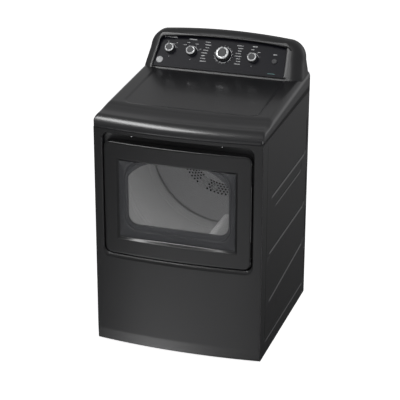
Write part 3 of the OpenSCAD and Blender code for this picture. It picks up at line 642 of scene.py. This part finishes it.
def make_door_frame():
    hw, z0, z1 = DOOR_HIGH[0], DOOR_LOW[2], DOOR_HIGH[2]
    win_hw, win_z0, win_z1 = GLASS_HIGH[0] - 7.5, GLASS_LOW[2] + 7.5, GLASS_HIGH[2] - 7.5
    back = DOOR_HIGH[1]
    edge_r = 4.5
    counts = {"n_arc": 10, "n_x": 40, "n_z": 30}

    def outer(d):
        return rounded(-hw + d, hw - d, z0 + d, z1 - d, 28 - d, **counts)

    def window(d):
        return rounded(-win_hw + d, win_hw - d, win_z0 + d, win_z1 - d, 1.5, **counts)

    rings = [ring(outer(4), back - 0.4), ring(outer(1), back - 0.6),
             ring(outer(0.2), back - 2), ring(outer(0), back - 5)]
    for inset, set_back in roll(edge_r, 6):
        outline = outer(inset)
        rings.append(ring(outline, bowed(outline[:, 0]) + set_back))
    for t in (0.08, 0.25, 0.45, 0.65, 0.82, 0.93, 0.98):
        outline = mix(outer(edge_r), window(-1.6), t)
        rings.append(ring(outline, bowed(outline[:, 0])))
    for inset, set_back in ((-1.6, 0), (-0.9, 0.15), (-0.3, 0.5), (0, 0.9)):
        outline = window(inset)
        rings.append(ring(outline, bowed(outline[:, 0]) + set_back))
    glass_y = GLASS_LOW[1]
    start = bowed(window(0)[:, 0]) + 0.9
    for t in (0.25, 0.5, 0.75, 1.0):
        rings.append(ring(window(7.5 * t), mix(start, glass_y - 0.4, t)))
    rings.append(ring(window(8.2), np.full(len(start), glass_y - 0.1)))
    verts, faces = loft(rings)
    # the edge is notched round both hinges
    centres = np.array([verts[list(face)].mean(axis=0) for face in faces])
    by_hinge = np.min([np.abs(centres[:, 2] - z) for z in HINGE_ZS], axis=0) < NOTCH_HALF
    notched = by_hinge & (centres[:, 0] > NOTCH_X) & (centres[:, 1] > NOTCH_Y)
    faces = [face for face, gone in zip(faces, notched) if not gone]
    piece("door_frame_moulding", (verts, faces), "door_plastic", "door", ["door_outer_frame"], thickness=1.5)


def make_door_trim():
    hw, z0, z1 = GLASS_HIGH[0], GLASS_LOW[2], GLASS_HIGH[2]
    front = GLASS_HIGH[1] + 0.2
    deep = front + 9.5
    inner = rounded(-216, 216, 500, 793, 58)
    border = rounded(-hw, hw, z0, z1, 3)
    rings = [ring(rounded(-hw + 2, hw - 2, z0 + 2, z1 - 2, 3), front + 3),
             ring(border, front + 2), ring(border, front)]
    slope = rounded(-240, 240, z0 + 12, z1 - 12, 10)
    rings.append(ring(slope, front + 0.2))
    for t in (0.1, 0.3, 0.6, 0.85, 1.0):
        rings.append(ring(mix(slope, inner, t), mix(front + 0.4, deep, smoothstep(t))))
    for t, rise in ((0.05, 0.6), (0.14, 2.8), (0.22, 3.4), (0.3, 2.8), (0.4, 0.4), (0.6, 0), (0.8, 0)):
        rings.append(ring(mix(inner, arched(208, 526, 192, 42), t), deep - rise))
    for inset, back in ((2, 0), (0.9, 0.3), (0.2, 1.2), (0, 2.6), (0, 8.5)):
        rings.append(ring(arched(206 + inset, 528 - inset, 190 + inset, 40 + inset), deep + back))
    piece("window_trim_moulding", loft(rings), "trim_plastic", "door", ["door_window_trim"], thickness=1.6)


# ---- drum -------------------------------------------------------------------------------------


def make_drum():
    r, y0, y1 = 308.0, DRUM_LOW[1], DRUM_HIGH[1]
    ys = np.concatenate([[y0], graded(y0 + 2, y1, 20, 2, [(-112, -38), (150, 190)])])
    swell = np.zeros(len(ys))
    for y, half in ((-100, 7), (-76, 7), (-52, 7), (172, 9)):
        swell = np.maximum(swell, 2.2 * (1 - smoothstep(np.abs(ys - y), 1, half)))
    profile = [(r + s, y) for s, y in zip(swell, ys)]
    verts, faces = lathe(profile, 180)
    verts = verts[:, [0, 2, 1]] + [0, 0, DRUM_Z]
    # lap seam along the drum
    angle = np.degrees(np.arctan2(verts[:, 0], DRUM_Z - verts[:, 2]))
    lift = 0.8 * np.exp(-(((angle + 45) / 0.9) ** 2))
    radial = verts - [0, 0, DRUM_Z]
    radial[:, 1] = 0
    radial /= np.linalg.norm(radial, axis=1)[:, None]
    piece("drum_cylinder", (verts - radial * lift[:, None], faces), "drum_enamel", "drum", ["drum_shell"],
          thickness=-1.0)


HOLE_ROWS = (152, 163, 174, 185, 196)
HOLE_R = 4.3
FIRST_FIELD = 261
# twelve points round a square cell, in half cells
CELL_EDGE = [(-1, -1), (-1 / 3, -1), (1 / 3, -1), (1, -1), (1, -1 / 3), (1, 1 / 3),
             (1, 1), (1 / 3, 1), (-1 / 3, 1), (-1, 1), (-1, 1 / 3), (-1, -1 / 3)]


def make_rear_wall():
    """Dished rear wall whose flat middle has eight fields of round holes."""
    disc_y, seat_y, disc_r = 290.0, DRUM_HIGH[1], 206.0
    cells, around = 72, 216
    half_step = (HOLE_ROWS[1] - HOLE_ROWS[0]) / 2
    parts = []

    def at(r, turn):
        """Point on the flat disc, turn in degrees."""
        a = math.radians(turn)
        return (r * math.cos(a), disc_y, DRUM_Z + r * math.sin(a))

    for row, radius in enumerate(HOLE_ROWS):
        for cell in range(cells):
            mid = FIRST_FIELD + (cell + 0.5 * (row % 2)) * 360 / cells
            span = 180 / cells
            verts = [at(radius + half_step * v, mid + span * u) for u, v in CELL_EDGE]
            off = (mid - FIRST_FIELD + 22.5) % 45 - 22.5
            if abs(off) < 17.5:
                for u, v in CELL_EDGE:
                    a = math.atan2(v, u)
                    turn = mid + math.degrees(HOLE_R * math.cos(a) / radius)
                    verts.append(at(radius + HOLE_R * math.sin(a), turn))
                faces = [(i, (i + 1) % 12, 12 + (i + 1) % 12, 12 + i) for i in range(12)]
            else:
                faces = [tuple(range(12))]
            parts.append((np.array(verts), faces))
    angles = np.radians(FIRST_FIELD - 180 / cells + 360 * np.arange(around) / around)

    def circle(r, y):
        return np.stack([r * np.cos(angles), np.full(around, float(y)), DRUM_Z + r * np.sin(angles)], 1)

    inner = [circle(r, y) for r, y in (
        (10, disc_y), (30, disc_y), (44, disc_y - 0.2), (50, disc_y - 3), (60, disc_y - 3.2),
        (67, disc_y), (100, disc_y), (HOLE_ROWS[0] - half_step, disc_y))]
    outer = [circle(r, y) for r, y in (
        (HOLE_ROWS[-1] + half_step, disc_y), (disc_r, disc_y), (disc_r + 4, disc_y - 1.4),
        (240, disc_y - 13), (275, disc_y - 27), (296, seat_y + 4.5), (302, seat_y + 1.6),
        (305.5, seat_y + 1.0), (310.5, seat_y + 1.0))]
    parts += [loft(inner), loft(outer)]
    verts, faces = joined(parts)
    piece("drum_end_wall", (verts, faces), "drum_steel", "drum", ["drum_rear_wall"], thickness=1.0)


def make_baffles():
    y0, y1 = -235.0, 225.0
    height, half, ends = 62.0, 34.0, 46.0
    lead = -9.0                                         # turn of the first lifter, degrees
    parts = []
    for k in range(3):
        rings = []
        for y in graded(y0, y1, 24, 4, [(y0, y0 + ends), (y1 - ends, y1)]):
            near = min(y - y0, y1 - y)
            swell = math.sqrt(max(0.0, 1 - (1 - min(near / ends, 1)) ** 2))
            u = np.linspace(-1, 1, 25)
            shape = (1 - np.abs(u) ** 2.6) ** 0.9
            x = half * (0.45 + 0.55 * swell) * np.sign(u) * np.abs(u) ** 0.8 * (1 - 0.28 * shape)
            z = 1.5 + (height * swell - 1.0) * shape
            rings.append(np.stack([x, np.full(25, y), z - 307.6], 1))
        verts, faces = loft(rings, closed=False)
        parts.append((about_y(verts, lead + 120 * k, 0, DRUM_Z), faces))
    piece("drum_lifters", joined(parts), "white_plastic", "drum", ["drum_baffles"], thickness=2.0)


# ---- controls ---------------------------------------------------------------------------------


def knob_parts(name, radius, height):
    """Skirted body, bright bevel ring with a gap, and textured face."""
    centre = np.array(JOINTS[f"{name}_turn"]["pos_m"]) / MM
    face_r = radius * 0.69
    slope = radius - 1.6 - face_r

    def place(data):
        return to_fascia(data[0], centre), data[1]

    body = lathe([(0.01, 0.9), (radius - 0.8, 0.9), (radius - 0.2, 1.3), (radius, 2.2),
                  (radius - 0.3, 3.2), (radius - 1.2, 3.8), (radius - 1.7, 4.6),
                  (radius - 2.1, height * 0.5), (radius - 2.0, height - 4.4),
                  (radius - 1.9, height - 3.2), (radius - 2.6, height - 2.9),
                  (face_r + 0.3, height - 1.2), (face_r - 0.2, height - 2.0), (0.01, height - 2.0)])
    stem = lathe([(0.01, -24), (2.6, -24), (3.0, -23.4), (3.0, 1.0)], 24)
    piece(f"{name}_body", place(joined([body, stem])), "knob_plastic", name, [name])
    bevel = [(radius - 1.75, height - 3.6), (radius - 1.6, height - 2.9), (radius - 2.0, height - 2.3),
             (radius - 2.0 - 0.5 * slope, height - 0.8), (face_r + 0.5, height + 0.2),
             (face_r, height + 0.1), (face_r - 0.25, height - 0.5)]
    verts, faces = lathe(bevel, 88, 95, 350)
    # the ring's bright light grey is partly painted reflection, from the diffuse base of its chrome finish
    piece(f"{name}_ring", place((verts, faces)), "bright_steel", name, finish="chrome_painted_sheen", thickness=0.5)
    face = lathe([(face_r, height - 1.4), (face_r - 0.1, height - 0.7), (face_r - 0.9, height - 0.5),
                  (face_r * 0.6, height - 0.8), (0.01, height - 1.0)])
    piece(f"{name}_face", place(face), "knob_plastic", name, finish="knob_face")


def make_controls():
    knob_parts("cycle_knob", 28.5, 24.5)
    for name in ("temperature_knob", "dryness_knob", "signal_knob"):
        knob_parts(name, 20.5, 22.5)
    low, high = box_mm("start_button")
    centre = on_fascia((low[0] + high[0]) / 2, 75)
    cap = lathe([(0.01, -2.5), (10.6, -2.5), (11, -2.0), (11, 3.0), (10.6, 4.0), (9.6, 4.5),
                 (6, 4.3), (0.01, 4.1)], 64)
    stem = lathe([(0.01, -14), (2.6, -14), (3.0, -13.5), (3.0, -2)], 24)
    verts, faces = joined([cap, stem])
    piece("start_button_cap", (to_fascia(verts, centre), faces), "knob_plastic", "start_button",
          ["start_button"], finish="knob_face")
    badge = lathe([(14.2, 0.05), (14.4, 0.9), (13.8, 1.5), (12.9, 1.6), (12.4, 1.1), (11.2, 1.0), (9.0, 1.5),
                   (8.0, 1.9), (6.9, 1.4), (5.2, 1.1), (4.0, 1.6), (0.01, 2.0)], 64)
    piece("badge_disc", (to_fascia(badge[0], on_fascia(-269, 35)), badge[1]), "bright_steel",
          finish="badge")


# lower and upper face of the print above the fascia
INK_LOW, INK_HIGH = 0.01, 0.14


def bar(x, s, length, width, turn=0.0):
    """A thin printed bar on the fascia, centred on x, s."""
    u, v = length / 2, width / 2
    pts = np.array([(-u, -v), (u, -v), (u, v), (-u, v)])
    a = math.radians(turn)
    pts = pts @ np.array([[math.cos(a), math.sin(a)], [-math.sin(a), math.cos(a)]]) + [x, s]
    verts = np.array([(p[0], p[1], z) for z in (INK_LOW, INK_HIGH) for p in pts])
    faces = [(0, 1, 2, 3), (4, 5, 6, 7), (0, 1, 5, 4), (1, 2, 6, 5), (2, 3, 7, 6), (3, 0, 4, 7)]
    return verts, faces


def arc_bar(x, s, radius, width, a0, a1):
    """A thin printed arc on the fascia round x, s, from a0 to a1 degrees."""
    n = max(4, int(abs(a1 - a0) / 5))
    rings = []
    for r, z in ((radius, INK_LOW), (radius, INK_HIGH),
                 (radius + width, INK_HIGH), (radius + width, INK_LOW)):
        p = arc(x, s, r, a0, a0 + (a1 - a0) * (n + 1) / n, n + 1)
        rings.append(np.concatenate([p, np.full((n + 1, 1), z)], 1))
    return loft(rings + rings[:1], closed=False)


def make_print():
    """Generic dashes, arcs and ticks in place of lettering."""
    rng = np.random.default_rng(7)
    marks = []

    def tick(x, s, radius, degrees, length, width):
        """A radial dash at a distance from a knob's axis."""
        a = math.radians(degrees)
        marks.append(bar(x + radius * math.cos(a), s + radius * math.sin(a), length, width, degrees))

    def words(x, s, widths, size=4.2, gap=2.4):
        """A centred row of uneven strokes in groups, in place of words."""
        left = x - (sum(widths) + gap * (len(widths) - 1)) / 2
        for width in widths:
            cursor = left
            while cursor < left + width - 1.2:
                stroke = rng.uniform(0.55, 1.0)
                shift = rng.uniform(-0.2, 0.2) * size * (1 - stroke)
                marks.append(bar(cursor + 1.1, s + shift, 1.9, size * stroke))
                cursor += 2.6
            left += width + gap

    words(-240, 139, (28, 24), 5.4)
    words(-143, 137, (34,), 5.4)
    words(124, 131, (20,), 5.4)
    words(214, 104, (16,), 5.0)
    for x, s, width in ((-160, 122, 13), (-122, 118, 14), (-174, 110, 12), (-104, 97, 8),
                        (116, 117, 12), (144, 108, 9), (-247, 119, 5), (-209, 116, 5)):
        words(x, s, (width,), 3.6)
    for k in range(8):
        words(-78 - 1.2 * k + 4 * math.sin(k), 131 - 12.2 * k, (20 + 6 * math.sin(2.1 * k),), 4.0)
        words(62 + 3 * math.sin(1.3 * k), 129 - 11.6 * k, (22 + 6 * math.cos(1.7 * k),), 4.0)
    for name, radius in (("temperature_knob", 23.5), ("dryness_knob", 24.5), ("signal_knob", 23.5)):
        centre = np.array(JOINTS[f"{name}_turn"]["pos_m"]) / MM - FASCIA_FOOT
        x, s = centre[0], centre @ FASCIA_UP
        marks.append(arc_bar(x, s, radius, 1.5, 95, 20))
        for a in (150, 120, 60, 20):
            tick(x, s, radius + 6, a, 2.6, 1.2)
        marks.append(bar(x, s - radius - 10, 3.0, 2.2))
    x, s = -3.0, CYCLE_S
    for a0, a1 in ((75, 20), (8, -4), (-14, -50), (-62, -110), (-122, -168), (178, 130)):
        marks.append(arc_bar(x, s, 34.5, 1.6, a0, a1))
    for a in range(-170, 190, 20):
        tick(x, s, 39.5, a, 2.4, 1.5)
    verts, faces = joined(marks)
    piece("fascia_print", (to_fascia(verts, FASCIA_FOOT), faces), "fascia_film",
          finish="print_white", sharp=30)
    teal = bar(212, 20, 30, 2.0)
    piece("fascia_mark", (to_fascia(teal[0], FASCIA_FOOT), teal[1]), "fascia_film",
          finish="print_teal", sharp=30)


make_door_frame()
make_door_trim()
make_drum()
make_rear_wall()
make_baffles()
make_controls()
make_print()


# ---- the rest of the frame --------------------------------------------------------------------

slot_of = {part["node"]: part["material_slot"] for part in frame["record"]["subparts"]}
# painted shade: the heater pan, plain galvanised steel in the real dryer, gets the dark scorched-steel finish so
# that it reads as the shade seen through the holes of the drum's rear wall
finish_of = slot_of | {"heater_housing": "scorched_steel"}
for name, cad in frame["nodes"].items():
    cad.data.materials.clear()
    cad.data.materials.append(MATERIALS[finish_of[name]])


# ---- stage ------------------------------------------------------------------------------------


def make_stage():
    size = 60.0
    mesh = bpy.data.meshes.new("floor")
    corners = [(-size, -size, 0), (size, -size, 0), (size, size, 0), (-size, size, 0)]
    mesh.from_pydata(corners, [], [(0, 1, 2, 3)])
    floor = bpy.data.objects.new("floor", mesh)
    bpy.context.scene.collection.objects.link(floor)
    pale = bpy.data.materials.new("floor_pale")
    pale.use_nodes = True
    shader = pale.node_tree.nodes["Principled BSDF"]
    shader.inputs["Base Color"].default_value = (0.85, 0.85, 0.85, 1)
    shader.inputs["Roughness"].default_value = 0.9
    shader.inputs["Emission Color"].default_value = (1, 1, 1, 1)
    shader.inputs["Emission Strength"].default_value = 0.8
    mesh.materials.append(pale)
    floor.visible_glossy = False


# soft reflectors in the studio: direction, sharpness, strength
REFLECTORS = [
    ((-0.35, -0.71, -0.61), 170, 8.5),
    ((-0.1, -0.86, -0.5), 80, 1.4),
    ((0.5, 0.86, 0.02), 22, 0.6),
    ((0.85, -0.26, -0.38), 70, 5.0),
    ((-0.35, 0.92, -0.2), 60, 0.9),
]


def make_world():
    """Dim studio that is paler above the horizon, with the reflectors added to it."""
    world = bpy.data.worlds.new("studio")
    bpy.context.scene.world = world
    world.use_nodes = True
    tree = world.node_tree
    direction = node(tree, "ShaderNodeTexCoord").outputs["Generated"]
    axes = node(tree, "ShaderNodeSeparateXYZ", {"Vector": direction})
    total = node(tree, "ShaderNodeMapRange", {"Value": axes.outputs["Z"], "From Min": -0.5, "From Max": 0.35,
                                             "To Min": 0.01, "To Max": 0.36}).outputs["Result"]
    for toward, power, strength in REFLECTORS:
        facing = node(tree, "ShaderNodeVectorMath", {0: direction, 1: Vector(toward).normalized()},
                      operation="DOT_PRODUCT").outputs["Value"]
        facing = node(tree, "ShaderNodeMath", {0: facing, 1: 0.0}, operation="MAXIMUM").outputs[0]
        lobe = node(tree, "ShaderNodeMath", {0: facing, 1: power}, operation="POWER").outputs[0]
        total = node(tree, "ShaderNodeMath", {0: lobe, 1: strength, 2: total},
                     operation="MULTIPLY_ADD").outputs[0]
    tree.links.new(total, tree.nodes["Background"].inputs["Strength"])
    tree.nodes["Background"].inputs["Color"].default_value = (1.0, 1.0, 1.01, 1)


def area_light(name, location, target, width, height, power, glossy=False, diffuse=True):
    """A soft rectangular lamp that the camera doesn't see, aimed at target."""
    data = bpy.data.lights.new(name, "AREA")
    data.shape = "RECTANGLE"
    data.size, data.size_y, data.energy = width, height, power
    lamp = bpy.data.objects.new(name, data)
    lamp.location = location
    lamp.visible_camera = False
    lamp.visible_glossy = glossy
    lamp.visible_diffuse = diffuse
    lamp.rotation_euler = (Vector(target) - Vector(location)).to_track_quat("-Z", "Y").to_euler()
    bpy.context.scene.collection.objects.link(lamp)


def make_camera():
    azimuth, elevation, tilt = math.radians(18.116), math.radians(22.58), math.radians(0.126)
    back = Vector((math.sin(azimuth) * math.cos(elevation), -math.cos(azimuth) * math.cos(elevation),
                   math.sin(elevation)))
    target = Vector((-0.01985, 0.0075, 0.5209))
    data = bpy.data.cameras.new("photo_view")
    data.lens, data.sensor_width = 142.5, 36.0
    data.clip_end = 200.0
    camera = bpy.data.objects.new("photo_view", data)
    camera.matrix_world = (Matrix.Translation(target + back * 6.4775)
                           @ back.to_track_quat("Z", "Y").to_matrix().to_4x4()
                           @ Matrix.Rotation(tilt, 4, "Z"))
    bpy.context.scene.collection.objects.link(camera)
    bpy.context.scene.camera = camera


make_stage()
make_world()
area_light("lip_softbox", (-1.1, -1.1, 3.1), (-0.1, -0.3, 0.95), 1.5, 0.7, 48, glossy=True, diffuse=False)
area_light("fill_front", (1.2, -3.6, 3.2), (0, 0, 0.6), 2.0, 1.4, 90)
area_light("drum_lamp", (0, -0.14, 0.9), (0, 0.12, 0.4), 0.3, 0.16, 1.6)
make_camera()
bpy.context.scene.view_settings.view_transform = "Standard"
